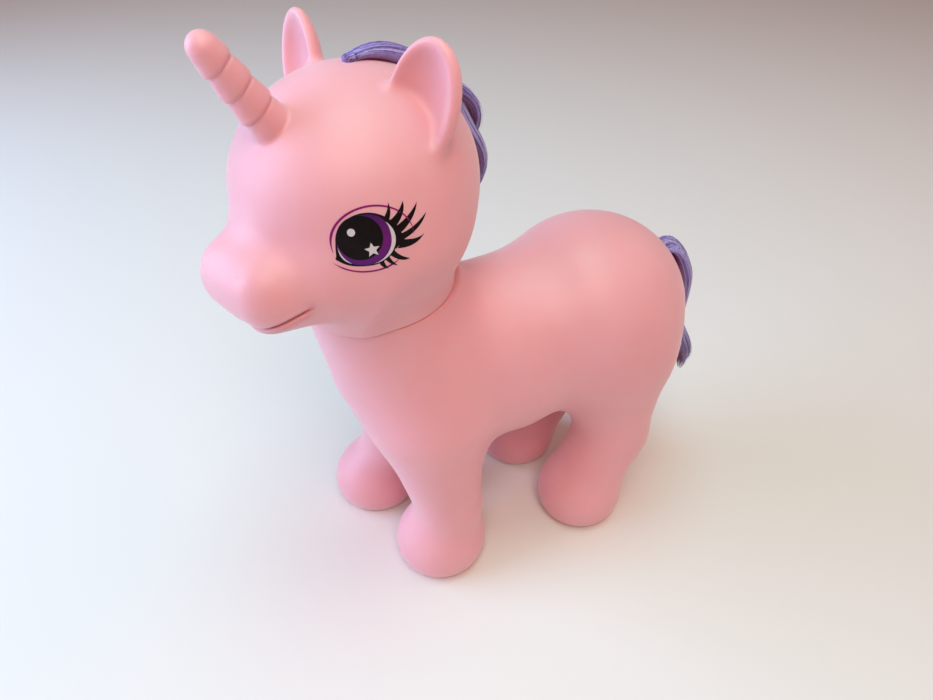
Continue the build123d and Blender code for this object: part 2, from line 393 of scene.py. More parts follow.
def field(shape, low, high, step):
    """Distances on a grid: one for each block, and every point's own where the surface is near."""
    counts = np.ceil((high - low) / (step * BLOCK)).astype(int)
    middles = [low[i] + (np.arange(counts[i]) + 0.5) * step * BLOCK for i in range(3)]
    coarse_points = np.stack(np.meshgrid(*middles, indexing="ij"), -1).reshape(-1, 3)
    values = sampled(shape, coarse_points.astype(np.float32)).reshape(counts)
    active = np.abs(values) < step * BLOCK * BLOCK_REACH + REACH_MORE
    for axis in range(3):
        values = np.repeat(values, BLOCK, axis=axis)
        active = np.repeat(active, BLOCK, axis=axis)
    axes = [low[i] + (np.arange(counts[i] * BLOCK) + 0.5) * step for i in range(3)]
    where = np.argwhere(active)
    points = np.stack([axes[i][where[:, i]] for i in range(3)], -1).astype(np.float32)
    values[active] = sampled(shape, points)
    return values, axes


def net(values, axes):
    """One point in each grid cell that the surface crosses, and a quad round each crossed edge."""
    inside = values < 0
    cells = np.zeros(np.array(values.shape) - 1, np.int8)
    for i in (0, 1):
        for j in (0, 1):
            for k in (0, 1):
                corner = inside[i:i + cells.shape[0], j:j + cells.shape[1], k:k + cells.shape[2]]
                cells += corner
    mixed = (cells > 0) & (cells < 8)
    index = np.full(cells.shape, -1, np.int64)
    index[mixed] = np.arange(mixed.sum())
    where = np.argwhere(mixed)
    points = np.stack([(axes[i][where[:, i]] + axes[i][where[:, i] + 1]) / 2 for i in range(3)], -1)
    quads = []
    for axis in range(3):
        one = np.moveaxis(inside, axis, 0)
        ids = np.moveaxis(index, axis, 0)
        change = one[1:, 1:-1, 1:-1] != one[:-1, 1:-1, 1:-1]
        s, t, u = np.nonzero(change)
        ring = np.stack([ids[s, t, u], ids[s, t + 1, u], ids[s, t + 1, u + 1], ids[s, t, u + 1]], -1)
        leaving = one[s, t + 1, u + 1]
        # Along Y the other two axes come in the opposite order, so the winding turns over.
        flip = leaving if axis != 1 else ~leaving
        ring = np.where(flip[:, None], ring, ring[:, ::-1])
        quads.append(ring)
    return points, np.concatenate(quads)


def relaxed(points, quads):
    """Each point moves to the mean of its neighbours."""
    total = np.zeros_like(points)
    count = np.zeros(len(points))
    for corner in range(4):
        for other in (1, 3):
            near = quads[:, (corner + other) % 4]
            np.add.at(total, quads[:, corner], points[near])
            np.add.at(count, quads[:, corner], 1)
    return total / np.maximum(count, 1)[:, None]


def skin(name, shape, low, high, step):
    values, axes = field(shape, np.array(low, float), np.array(high, float), step)
    points, quads = net(values, axes)
    points = on_surface(shape, points)
    for _ in range(2):
        points = on_surface(shape, relaxed(points, quads))
    return solid(name, points, quads.tolist())


def solid(name, points, faces):
    """A mesh object from points in millimetres about the middle of the belly."""
    placed = (np.asarray(points, float) - np.array((0, BELLY, 0))) * MM
    mesh = bpy.data.meshes.new(name)
    mesh.from_pydata(placed.tolist(), [], faces)
    mesh.validate()
    mesh.update()
    mesh.shade_smooth()
    piece = bpy.data.objects.new(name, mesh)
    bpy.context.scene.collection.objects.link(piece)
    return piece


# ------------------------------------------------------------------ materials
def finish_of(name):
    """A new material with its nodes, its links and its shader."""
    material = bpy.data.materials.new(name)
    material.use_nodes = True
    nodes = material.node_tree.nodes
    shader = nodes["Principled BSDF"]
    return material, nodes, material.node_tree.links, shader


def srgb(red, green, blue):
    def linear(value):
        value = value / 255
        return value / 12.92 if value <= 0.04045 else ((value + 0.055) / 1.055) ** 2.4
    return (linear(red), linear(green), linear(blue), 1)


def noise(nodes, links, place, scale, detail=2.0, rough=0.5):
    node = nodes.new("ShaderNodeTexNoise")
    node.inputs["Scale"].default_value = scale
    node.inputs["Detail"].default_value = detail
    node.inputs["Roughness"].default_value = rough
    links.new(place, node.inputs["Vector"])
    return node.outputs["Fac"]


def between(nodes, links, factor, low, high, start=0.0, stop=1.0):
    ramp = nodes.new("ShaderNodeValToRGB")
    ramp.color_ramp.elements[0].position = start
    ramp.color_ramp.elements[0].color = low
    ramp.color_ramp.elements[1].position = stop
    ramp.color_ramp.elements[1].color = high
    links.new(factor, ramp.inputs["Fac"])
    return ramp.outputs["Color"]


def number_between(nodes, links, factor, low, high):
    """A number for the middle range of a noise, which seldom leaves 0.3 to 0.7."""
    node = nodes.new("ShaderNodeMapRange")
    node.inputs["From Min"].default_value = 0.3
    node.inputs["From Max"].default_value = 0.7
    node.inputs["To Min"].default_value = low
    node.inputs["To Max"].default_value = high
    links.new(factor, node.inputs["Value"])
    return node.outputs["Result"]


def bumped(nodes, links, height, strength, distance, under=None):
    node = nodes.new("ShaderNodeBump")
    node.inputs["Strength"].default_value = strength
    node.inputs["Distance"].default_value = distance
    links.new(height, node.inputs["Height"])
    if under is not None:
        links.new(under, node.inputs["Normal"])
    return node.outputs["Normal"]


def object_place(nodes):
    return nodes.new("ShaderNodeTexCoord").outputs["Object"]


def soft_vinyl():
    material, nodes, links, shader = finish_of("matte_pink_vinyl")
    place = object_place(nodes)
    cloud = noise(nodes, links, place, 22, 3, 0.55)
    colour = between(nodes, links, cloud, srgb(228, 161, 168), srgb(232, 168, 175), 0.3, 0.7)
    # Painted shade: the mouth's crease, the lower lip and the dimples at its corners are mixed towards a
    # deeper pink.
    mouth_shade = nodes.new("ShaderNodeAttribute")
    mouth_shade.attribute_name = "mouth_shade"
    with_mouth_shade = nodes.new("ShaderNodeMix")
    with_mouth_shade.data_type = "RGBA"
    links.new(mouth_shade.outputs["Fac"], with_mouth_shade.inputs["Factor"])
    links.new(colour, with_mouth_shade.inputs["A"])
    with_mouth_shade.inputs["B"].default_value = srgb(184, 74, 88)
    links.new(with_mouth_shade.outputs["Result"], shader.inputs["Base Color"])
    shader.inputs["Subsurface Weight"].default_value = 0.42
    shader.inputs["Subsurface Radius"].default_value = (1.0, 0.35, 0.3)
    shader.inputs["Subsurface Scale"].default_value = 0.004
    shader.inputs["Specular IOR Level"].default_value = 0.55
    shader.inputs["Sheen Weight"].default_value = 0.2
    shader.inputs["Sheen Roughness"].default_value = 0.5
    uneven = noise(nodes, links, place, 140, 3, 0.6)
    links.new(number_between(nodes, links, uneven, 0.44, 0.52), shader.inputs["Roughness"])
    ripple = bumped(nodes, links, noise(nodes, links, place, 60, 2), 0.05, 0.0008)
    grain = bumped(nodes, links, noise(nodes, links, place, 2600, 2), 0.10, 0.00006, ripple)
    links.new(grain, shader.inputs["Normal"])
    return material


# How dark and how wide the painted shade is in the mouth's crease, on the lower lip (this far under the
# crease) and in the dimples at its corners.
CREASE_SHADE, CREASE_SHADE_WIDTH = 0.75, 0.55
LIP_SHADE, LIP_SHADE_WIDTH, LIP_SHADE_DROP = 0.26, 1.6, 2.2
DIMPLE_SHADE, DIMPLE_SHADE_WIDTH = 0.35, 2.0
MOUTH_SHADE_TOP, MOUTH_SHADE_FADE = -8, 4                       # none over this height on the head
MOUTH_SHADE_SIDE = 29                                     # none past this to either side


def marked(piece, label, values):
    """Gives each point of a piece a number that its material reads."""
    attribute = piece.data.attributes.new(label, "FLOAT", "POINT")
    attribute.data.foreach_set("value", values.astype(np.float32))


def paint_mouth_shade(piece):
    """Marks painted shade in the crease of the mouth, on the lower lip and in the dimples at its corners."""
    points = np.empty(len(piece.data.vertices) * 3)
    piece.data.vertices.foreach_get("co", points)
    q = to_head(points.reshape(-1, 3) / MM + (0, BELLY, 0))
    smile, here = smile_height(q)
    here = here * smooth((MOUTH_SHADE_TOP - q[:, 2]) / MOUTH_SHADE_FADE) * (np.abs(q[:, 0]) < MOUTH_SHADE_SIDE)
    corner = np.linalg.norm(mirrored(q) - MOUTH_CORNER, axis=-1)
    shade_amount = CREASE_SHADE * ridge(smile, CREASE_SHADE_WIDTH) * here
    shade_amount += LIP_SHADE * ridge(smile + LIP_SHADE_DROP, LIP_SHADE_WIDTH) * here
    shade_amount += DIMPLE_SHADE * ridge(corner, DIMPLE_SHADE_WIDTH)
    marked(piece, "mouth_shade", np.clip(shade_amount, 0, 1))


def print_ink(name, colour, worn):
    material, nodes, links, shader = finish_of(name)
    place = object_place(nodes)
    wear = noise(nodes, links, place, 500, 3, 0.6)
    links.new(between(nodes, links, wear, colour, worn, 0.35, 0.65), shader.inputs["Base Color"])
    links.new(number_between(nodes, links, wear, 0.36, 0.46), shader.inputs["Roughness"])
    grain = bumped(nodes, links, noise(nodes, links, place, 2600, 2), 0.08, 0.00005)
    links.new(grain, shader.inputs["Normal"])
    shader.inputs["Specular IOR Level"].default_value = 0.15
    return material


def iris_ink(low, high):
    """Violet that goes from one height to the other through a redder middle."""
    material, nodes, links, shader = finish_of("iris_ink")
    place = object_place(nodes)
    split = nodes.new("ShaderNodeSeparateXYZ")
    links.new(place, split.inputs["Vector"])
    rise = nodes.new("ShaderNodeMapRange")
    rise.inputs["From Min"].default_value = low
    rise.inputs["From Max"].default_value = high
    links.new(split.outputs["Z"], rise.inputs["Value"])
    ramp = nodes.new("ShaderNodeValToRGB")
    ramp.color_ramp.elements[0].color = srgb(84, 24, 110)
    ramp.color_ramp.elements[1].color = srgb(60, 24, 84)
    middle = ramp.color_ramp.elements.new(0.45)
    middle.color = srgb(104, 22, 108)
    links.new(rise.outputs["Result"], ramp.inputs["Fac"])
    links.new(ramp.outputs["Color"], shader.inputs["Base Color"])
    links.new(number_between(nodes, links, noise(nodes, links, place, 500, 3), 0.36, 0.44),
              shader.inputs["Roughness"])
    shader.inputs["Specular IOR Level"].default_value = 0.2
    return material


def doll_hair():
    """Strand by strand: each fibre has a tone of its own, and the core a darker one that is painted shade;
    the under attribute marks the side next to the vinyl, where a deeper magenta is painted shade.
    """
    material, nodes, links, shader = finish_of("violet_doll_hair")
    place = object_place(nodes)
    tone_and_core_shade = nodes.new("ShaderNodeAttribute")
    tone_and_core_shade.attribute_name = "tone_and_core_shade"
    patches = nodes.new("ShaderNodeMath")
    patches.operation = "MULTIPLY_ADD"
    patches.inputs[1].default_value = 0.35
    links.new(noise(nodes, links, place, 70, 3, 0.6), patches.inputs[0])
    links.new(tone_and_core_shade.outputs["Fac"], patches.inputs[2])
    ramp = nodes.new("ShaderNodeValToRGB")
    ramp.color_ramp.elements[0].position = 0.2
    ramp.color_ramp.elements[0].color = srgb(76, 46, 118)
    ramp.color_ramp.elements[1].position = 1.0
    ramp.color_ramp.elements[1].color = srgb(190, 188, 234)
    for position, colour in ((0.45, srgb(120, 96, 174)), (0.68, srgb(160, 144, 210))):
        ramp.color_ramp.elements.new(position).color = colour
    links.new(patches.outputs["Value"], ramp.inputs["Fac"])
    # Painted shade: the side of a lock next to the vinyl is mixed towards a deeper magenta.
    under = nodes.new("ShaderNodeAttribute")
    under.attribute_name = "under"
    mix = nodes.new("ShaderNodeMix")
    mix.data_type = "RGBA"
    links.new(under.outputs["Fac"], mix.inputs["Factor"])
    links.new(ramp.outputs["Color"], mix.inputs["A"])
    mix.inputs["B"].default_value = srgb(124, 44, 116)
    links.new(mix.outputs["Result"], shader.inputs["Base Color"])
    fibre = noise(nodes, links, place, 900, 2, 0.5)
    links.new(number_between(nodes, links, fibre, 0.30, 0.42), shader.inputs["Roughness"])
    shader.inputs["Specular IOR Level"].default_value = 0.6
    shader.inputs["Sheen Weight"].default_value = 0.2
    links.new(bumped(nodes, links, fibre, 0.15, 0.0001), shader.inputs["Normal"])
    return material


def wound_thread():
    material, nodes, links, shader = finish_of("wound_violet_thread")
    place = object_place(nodes)
    wind = nodes.new("ShaderNodeTexWave")
    wind.bands_direction = "Y"
    wind.inputs["Scale"].default_value = 620
    wind.inputs["Distortion"].default_value = 0.6
    links.new(place, wind.inputs["Vector"])
    turns = wind.outputs["Fac"]
    # Darker in the grooves between the turns, where the bump is low: painted shade.
    links.new(between(nodes, links, turns, srgb(48, 30, 84), srgb(92, 70, 142)), shader.inputs["Base Color"])
    links.new(number_between(nodes, links, turns, 0.5, 0.7), shader.inputs["Roughness"])
    links.new(bumped(nodes, links, turns, 0.6, 0.0002), shader.inputs["Normal"])
    return material


# ------------------------------------------------------------------ the printed eyes
# Drawn in millimetres on a plane that touches the skin at the eye: u to the back, v up.
EYE_CENTRE = np.array((39.0, -29.2, -0.2))
EYE_OUT = np.array((0.781, -0.601, 0.168)) / np.linalg.norm((0.781, -0.601, 0.168))
EYE_UP = np.array((0, 0, 1)) - EYE_OUT * EYE_OUT[2]
EYE_UP = EYE_UP / np.linalg.norm(EYE_UP)
EYE_BACK = np.cross(EYE_UP, EYE_OUT) * np.sign(np.cross(EYE_UP, EYE_OUT)[1])
INK = 0.035                                         # thickness of one printed layer
SUNK = 0.12                                         # how far a print reaches into the skin
WELD = 2e-7                                         # metres, for the corners where a print runs out
BLACK, IRIS, MAGENTA, WHITE = range(4)


def curve(a, b, c, count=14):
    """A bent line from a to c, drawn towards b."""
    t = np.linspace(0, 1, count)[:, None]
    return (1 - t) ** 2 * np.array(a) + 2 * t * (1 - t) * np.array(b) + t ** 2 * np.array(c)


def arc(centre, radii, start, stop, count=28, power=2.0):
    """Part of an ellipse between two angles. A power over 2 squares its corners."""
    turn = np.radians(np.linspace(start, stop, count))
    c, s = np.cos(turn), np.sin(turn)
    bulge = (np.abs(c) ** power + np.abs(s) ** power) ** (-1 / power)
    return np.array(centre) + np.stack([c * bulge * radii[0], s * bulge * radii[1]], -1)


def tapered_arc(centre, radii, start, stop, width, end_width):
    """The two edges of a line that is drawn thin at both ends."""
    t = np.linspace(0, 1, 44)
    line = arc(centre, radii, start, stop, len(t))
    wide = (width + (end_width - width) * t) * np.minimum(1, 6 * np.minimum(t + 0.02, 1.02 - t))
    along = np.gradient(line, axis=0)
    side = np.stack([-along[:, 1], along[:, 0]], -1) / np.linalg.norm(along, axis=1)[:, None]
    return line + side * wide[:, None] / 2, line - side * wide[:, None] / 2


def columns_at(wanted, given, values):
    """Reads each column of a table at the wanted places."""
    return np.stack([np.interp(wanted, given, column) for column in values.T], -1)


def resampled(line, count):
    """Even points along a line."""
    steps = np.concatenate([[0], np.cumsum(np.linalg.norm(np.diff(line, axis=0), axis=1))])
    return columns_at(np.linspace(0, steps[-1], count), steps, line)


def disc(ink, layer, centre, radii, count=28):
    return (ink, layer, arc(centre, radii, 180, 0, count), arc(centre, radii, 180, 360, count))


def eye_patches():
    """Each patch is (ink, layer, one edge, the other edge)."""
    patches = []
    corner = (-11.1, -6.7)
    top = np.concatenate([curve(corner, (-11.4, -3.4), (-10.55, 0.4), 10)[:-1],
                          arc((0, -0.3), (10.6, 9.4), 176, 0)])
    bottom = np.concatenate([arc((0, -0.3), (13.4, 9.5), 208, 270, 16, 2.3)[:-1],
                             arc((0, -0.3), (10.6, 9.5), 270, 360, 20)])
    bottom[0] = corner
    patches.append((BLACK, 1, resampled(top, 48), resampled(bottom, 48)))
    white = (0.3, -0.85)
    patches.append((WHITE, 2, arc(white, (9.5, 8.4), 120, 0), arc(white, (9.5, 8.4), 240, 360)))
    iris = (-0.6, -0.45)
    iris_top = arc(iris, (9.6, 9.0), 185, 90, 16)[:-1], arc(iris, (9.0, 9.0), 90, 0, 20, 2.4)
    iris_bottom = arc(iris, (9.8, 8.9), 185, 270, 16, 2.3)[:-1], arc(iris, (9.0, 8.9), 270, 360, 20)
    patches.append((IRIS, 3, resampled(np.concatenate(iris_top), 44),
                    resampled(np.concatenate(iris_bottom), 44)))
    patches.append(disc(BLACK, 4, (-2.3, 0.6), (7.9, 7.9)))
    patches.append((WHITE, 4, curve((-10.2, -1.9), (-10.3, -6.6), (-6.4, -8.1)),
                    curve((-10.2, -1.9), (-9.5, -5.9), (-6.4, -8.1))))
    patches.append(disc(WHITE, 5, (-4.8, 3.1), (1.35, 1.4), 12))
    patches.extend(star((1.3, -4.0), 2.75, 1.25, 22))
    patches.append((MAGENTA, 1, *tapered_arc((2, -1), (14.3, 12.0), 192, -3, 1.0, 0.4)))
    patches.append((MAGENTA, 1, *tapered_arc((0, 3), (17, 15.0), 222, 306, 0.5, 0.75)))
    patches.extend(lashes())
    return patches


def star(centre, long, short, lean):
    """Five points, each one patch."""
    points = []
    for tip in range(5):
        spots = []
        for reach, degrees in ((long, 0), (short, -36), (short, 36)):
            turn = math.radians(lean + 72 * tip + degrees)
            spots.append(np.array(centre) + reach * np.array((math.cos(turn), math.sin(turn))))
        end, one, other = spots
        points.append((WHITE, 5, np.array([centre, one, end]), np.array([centre, other, end])))
    return points


# Each lash: front root, front bend, tip, back bend, back root.
UPPER_LASHES = (
    ((6.8, 6.3), (8.6, 8.3), (9.0, 11.0), (10.0, 8.1), (8.4, 5.0)),
    ((8.2, 4.7), (12.2, 6.8), (14.0, 10.4), (14.8, 6.6), (10.3, 2.4)),
    ((10.4, 2.6), (15.6, 4.8), (18.8, 8.8), (17.6, 3.7), (12.1, 0.2)),
    ((11.6, -0.3), (17.0, 0.6), (21.7, 4.6), (19.5, -0.1), (12.5, -2.5)),
    ((12.3, -2.4), (17.5, -3.9), (20.0, -2.4), (16.2, -6.4), (9.8, -5.1)),
)
LOWER_LASHES = (
    ((8.6, -5.4), (10.2, -8.2), (13.8, -9.8), (10.1, -10.6), (6.9, -6.8)),
    ((6.5, -7.2), (7.5, -9.8), (9.1, -11.3), (6.8, -11.0), (4.9, -8.0)),
    ((4.5, -8.3), (4.8, -10.5), (5.8, -11.9), (3.5, -11.5), (2.7, -8.8)),
)


def lashes():
    """The lashes, and the band behind the eye that their roots stand on."""
    for root, bend, tip, back_bend, back_root in UPPER_LASHES + LOWER_LASHES:
        yield (BLACK, 1, curve(root, bend, tip), curve(back_root, back_bend, tip))
    outer_edge = curve((6.4, 7.2), (12.2, 3.3), (12.5, -2.7), 24)
    yield (BLACK, 1, outer_edge, curve((6.0, 6.4), (10.0, 1.8), (9.3, -5.2), 24))


def head_skin_at(q):
    return head(from_head(q))


def on_face(spots):
    """Carries points of the eye's plane straight onto the skin of the head's left side."""
    q = EYE_CENTRE + spots[:, :1] * EYE_BACK + spots[:, 1:] * EYE_UP + EYE_OUT * 3
    for _ in range(7):
        value = head_skin_at(q)
        fall = slope_of(head_skin_at, q, value) @ EYE_OUT
        q = q - EYE_OUT * (value / np.maximum(fall, 0.3))[:, None]
    slope = slope_of(head_skin_at, q, head_skin_at(q))
    return q, slope / np.linalg.norm(slope, axis=1)[:, None]


def slab_faces(start, columns, rows):
    """Faces of a slab whose upper grid of points is followed by its lower one."""
    def at(i, j, level):
        return start + level * columns * rows + i * rows + j

    faces = []
    for i in range(columns - 1):
        for j in range(rows - 1):
            faces.append((at(i, j, 0), at(i + 1, j, 0), at(i + 1, j + 1, 0), at(i, j + 1, 0)))
            faces.append((at(i, j, 1), at(i, j + 1, 1), at(i + 1, j + 1, 1), at(i + 1, j, 1)))
    end = rows - 1
    for i in range(columns - 1):
        faces.append((at(i, 0, 0), at(i, 0, 1), at(i + 1, 0, 1), at(i + 1, 0, 0)))
        faces.append((at(i, end, 0), at(i + 1, end, 0), at(i + 1, end, 1), at(i, end, 1)))
    end = columns - 1
    for j in range(rows - 1):
        faces.append((at(0, j, 0), at(0, j + 1, 0), at(0, j + 1, 1), at(0, j, 1)))
        faces.append((at(end, j, 0), at(end, j, 1), at(end, j + 1, 1), at(end, j + 1, 0)))
    return faces


def printed_eye(name, side, inks):
    """Thin slabs of ink on the skin, side 1 for the left and -1 for the right."""
    points, faces, materials = [], [], []
    start = 0
    for ink, layer, one, other in eye_patches():
        columns = len(one)
        rows = 12 if columns > 3 else 3
        weights = np.linspace(0, 1, rows)
        grid = one[:, None] * (1 - weights)[None, :, None] + other[:, None] * weights[None, :, None]
        skin_point, out = on_face(grid.reshape(-1, 2))
        points.extend([skin_point + out * INK * layer, skin_point - out * SUNK])
        new = slab_faces(start, columns, rows)
        faces.extend(new)
        materials.extend([ink] * len(new))
        start += 2 * columns * rows
    piece = solid(name, from_head(np.concatenate(points) * (side, 1, 1)), faces)
    for ink in inks:
        piece.data.materials.append(ink)
    return piece, materials


def tidied(piece, materials):
    """Gives each face its ink, then welds pinched corners and turns the faces outward."""
    piece.data.polygons.foreach_set("material_index", materials)
    shape = bmesh.new()
    shape.from_mesh(piece.data)
    bmesh.ops.remove_doubles(shape, verts=shape.verts, dist=WELD)
    bmesh.ops.dissolve_degenerate(shape, edges=shape.edges, dist=WELD)
    bmesh.ops.recalc_face_normals(shape, faces=shape.faces)
    shape.to_mesh(piece.data)
    shape.free()
    piece.data.shade_flat()


# ------------------------------------------------------------------ hair
FULL_TURN = 2 * np.pi
ANY_PHASE = 6.3                                     # a full turn or a little more
FIBRE = 0.17                                        # radius of a fibre, thicker than a real one
STRAY = 0.045                                       # how unevenly the coat of fibres lies
CORE = 0.94                                         # size of the core inside that coat
CORE_END = 0.96                                     # where along the lock the core closes
FLUTE = 0.022                                       # depth of each wave round the core


def along_path(points, count):
    """Even points on a smooth line through a few chosen ones."""
    points = np.array(points, float)
    ends = np.concatenate([[2 * points[0] - points[1]], points, [2 * points[-1] - points[-2]]])
    line = []
    for i in range(len(points) - 1):
        a, b, c, d = ends[i:i + 4]
        for t in np.linspace(0, 1, 16, endpoint=False):
            line.append(0.5 * (2 * b + (c - a) * t + (2 * a - 5 * b + 4 * c - d) * t ** 2
                               + (3 * b - a - 3 * c + d) * t ** 3))
    line.append(points[-1])
    return resampled(np.array(line), count)


def across_path(line, outward):
    """Side and outward directions square to a path."""
    along = np.gradient(line, axis=0)
    along /= np.linalg.norm(along, axis=1)[:, None]
    side = np.cross(along, outward)
    side /= np.linalg.norm(side, axis=1)[:, None]
    return side, np.cross(side, along)


def around(path, side, out, wide, high, turn):
    """A ring of points about each point of a path, from its half sizes to the side and outward."""
    return (path[:, None] + side[:, None] * (wide * np.cos(turn))[..., None]
            + out[:, None] * (high * np.sin(turn))[..., None])


def tube(rings):
    """Closed skin over rings of points, pinched at both ends. Returns points and faces."""
    rows, corners = rings.shape[:2]
    points = np.concatenate([rings.reshape(-1, 3), [rings[0].mean(0)], [rings[-1].mean(0)]])
    i, j = np.meshgrid(np.arange(rows - 1), np.arange(corners), indexing="ij")
    after = (j + 1) % corners
    quads = np.stack([i * corners + j, i * corners + after,
                      (i + 1) * corners + after, (i + 1) * corners + j], -1).reshape(-1, 4)
    first, last = rows * corners, rows * corners + 1
    faces = quads.tolist()
    faces += [(first, (c + 1) % corners, c) for c in range(corners)]
    base = (rows - 1) * corners
    faces += [(last, base + c, base + (c + 1) % corners) for c in range(corners)]
    return points, faces


def underside_shade(angle):
    """How far an angle round a lock faces the vinyl, from 0 to 1, which is how much painted shade it is
    given.
    """
    return np.clip(-0.25 - np.sin(angle), 0, 0.75) / 0.75


def lock(name, line, outward, width, thick, seed):
    """A bundle of fibres: a fluted core under a coat of separate strands.
    width and thick are half sizes, one value for each point of the line."""
    random = np.random.default_rng(seed)
    side, out = across_path(line, outward)
    t = np.linspace(0, 1, len(line))
    turn = np.linspace(0, FULL_TURN, 49)[:-1]
    flute = np.zeros(len(turn))
    for wave in range(5, 17, 3):
        flute += FLUTE * np.cos(wave * turn + random.uniform(0, ANY_PHASE))
    clumps = [(wave, random.uniform(0, ANY_PHASE)) for wave in (7, 11, 17)]

    def clump_tone(angle):
        return sum(np.cos(wave * angle + start) for wave, start in clumps) / 3

    core_end = np.sqrt(np.clip(1 - (t / CORE_END) ** 7, 0.01, 1))
    twist = 0.5 * np.sin(2.2 * t + seed)
    r = CORE * (1 + np.interp((turn + twist[:, None]) % FULL_TURN, turn, flute)) * core_end[:, None]
    core, faces = tube(around(line, side, out, width[:, None] * r, thick[:, None] * r, turn))
    points = [core]
    # The core's tone is darker than the fibres': painted shade deep inside the lock.
    tones_and_core_shade = [np.append(np.tile(0.28 + 0.1 * clump_tone(turn), len(line)), (0.3, 0.3))]
    under_shades = [np.append(np.tile(underside_shade(turn), len(line)), (0, 0))]
    count = len(core)
    corner = np.linspace(0, FULL_TURN, 4)[:-1]
    for _ in range(STRANDS):
        # Where along the lock the fibre starts and ends, and where round it,
        first = random.uniform(0, 0.06)
        last = random.uniform(0.80, 1.0)
        angle = random.uniform(0, FULL_TURN)
        # how it wanders on its way,
        drift = random.normal(0, 0.35)
        wave = random.uniform(0.02, 0.07)
        phase = random.uniform(0, ANY_PHASE)
        # how far it lies off the core, and how far its end stands away,
        lift = 0.97 + abs(random.normal(0, STRAY))
        loose = max(0.0, random.normal(-0.10, 0.16))
        # and its shade and radius.
        shade = 0.44 + 0.28 * clump_tone(angle) + random.normal(0, 0.23)
        radius = FIBRE * random.uniform(0.7, 1.3)

        u = np.linspace(first, last, 22)
        where = angle + drift * u + wave * np.sin(7 * u + phase)
        off = lift + loose * u * u * (1 + 0.5 * np.sin(9 * u + phase))
        wide = np.interp(u, t, width) * off * np.cos(where)
        high = np.interp(u, t, thick) * off * np.sin(where)
        s = columns_at(u, t, side)
        o = columns_at(u, t, out)
        path = columns_at(u, t, line) + s * wide[:, None] + o * high[:, None]
        away = s * np.cos(where)[:, None] + o * np.sin(where)[:, None]
        along = np.gradient(path, axis=0)
        along /= np.linalg.norm(along, axis=1)[:, None]
        size = (radius * np.clip(6 * (1 - (u - first) / (last - first)), 0.15, 1))[:, None]
        more, patches = tube(around(path, np.cross(along, away), away, size, size, corner))
        points.append(more)
        faces.extend([tuple(c + count for c in patch) for patch in patches])
        tones_and_core_shade.append(np.full(len(more), shade))
        under_shades.append(np.append(np.repeat(underside_shade(where), len(corner)), (0, 0)))
        count += len(more)
    piece = solid(name, np.concatenate(points), faces)
    marked(piece, "tone_and_core_shade", np.concatenate(tones_and_core_shade))
    marked(piece, "under", np.concatenate(under_shades))
    return piece


# Root and end are millimetres to the left. Start, reach and at are degrees back from the crown. A lock
# stands off the skin by its lift, and by its bulge more at the place called at.
MANE_LOCKS = (
    {"root": -3.4, "end": -9, "start": 8, "reach": 113, "lift": 2.2, "bulge": 2.5, "at": 98, "phase": 0.4},
    {"root": -1.7, "end": 1, "start": 5, "reach": 121, "lift": 2.6, "bulge": 4.0, "at": 100, "phase": 2.1},
    {"root": 0.0, "end": 10, "start": 4, "reach": 104, "lift": 3.2, "bulge": 4.5, "at": 88, "phase": 3.6},
    {"root": 1.7, "end": 17, "start": 5, "reach": 120, "lift": 2.6, "bulge": 6.0, "at": 102, "phase": 5.0},
    {"root": 3.4, "end": 17, "start": 8, "reach": 87, "lift": 3.0, "bulge": 5.5, "at": 76, "phase": 0.9},
)
BULGE_OVER = 16                                     # degrees that the hair takes to stand off and return
MANE_SEED = 11


def mane_path(shape):
    """Lies on the skull from the crown to the nape and leans to the left on its way down."""
    t = np.linspace(0, 1, 40)
    degrees = shape["start"] + (shape["reach"] - shape["start"]) * t
    turn = np.radians(degrees)
    # Across: fans out from the parting, leans to its end and waves a little.
    x = shape["root"] * (0.3 + 0.7 * smooth(4 * t))
    x = x + (shape["end"] - shape["root"]) * smooth(turn / 2) ** 1.3
    x = x + 1.5 * np.sin(7.5 * t + shape["phase"]) * t * t
    q = np.stack([x, 56 * np.sin(turn), 48 * np.cos(turn)], -1)
    # Height over the skin: starts just under it, rises, bulges and waves.
    want = (shape["lift"] + 0.2) * smooth((degrees + 5) / 27) - 0.2
    want = want + shape["bulge"] * ridge(degrees - shape["at"], BULGE_OVER)
    want = want + 0.8 * np.sin(9 * t + shape["phase"]) * t * t
    for _ in range(6):
        height = head_skin_at(q)
        slope = slope_of(head_skin_at, q, height)
        step = (height - want) / np.maximum(np.sum(slope * slope, axis=1), 0.2)
        q = q - slope * step[:, None]
    return from_head(q), slope @ HEAD_AXES.T


def mane_lock(number, shape):
    line, outward = mane_path(shape)
    t = np.linspace(0, 1, len(line))
    taper = np.sqrt(np.clip(1 - t ** 3.2, 0.02, 1))
    # A narrow root that widens quickly at the crown and slowly further down
    width = (1.4 + 1.9 * smooth(3.2 * t) + 2.4 * smooth(2 * t - 0.7)) * taper
    thick = (1.7 + 1.7 * smooth(3.2 * t)) * taper
    return lock("mane_lock_%d" % (number + 1), line, outward, width, thick, MANE_SEED + number)


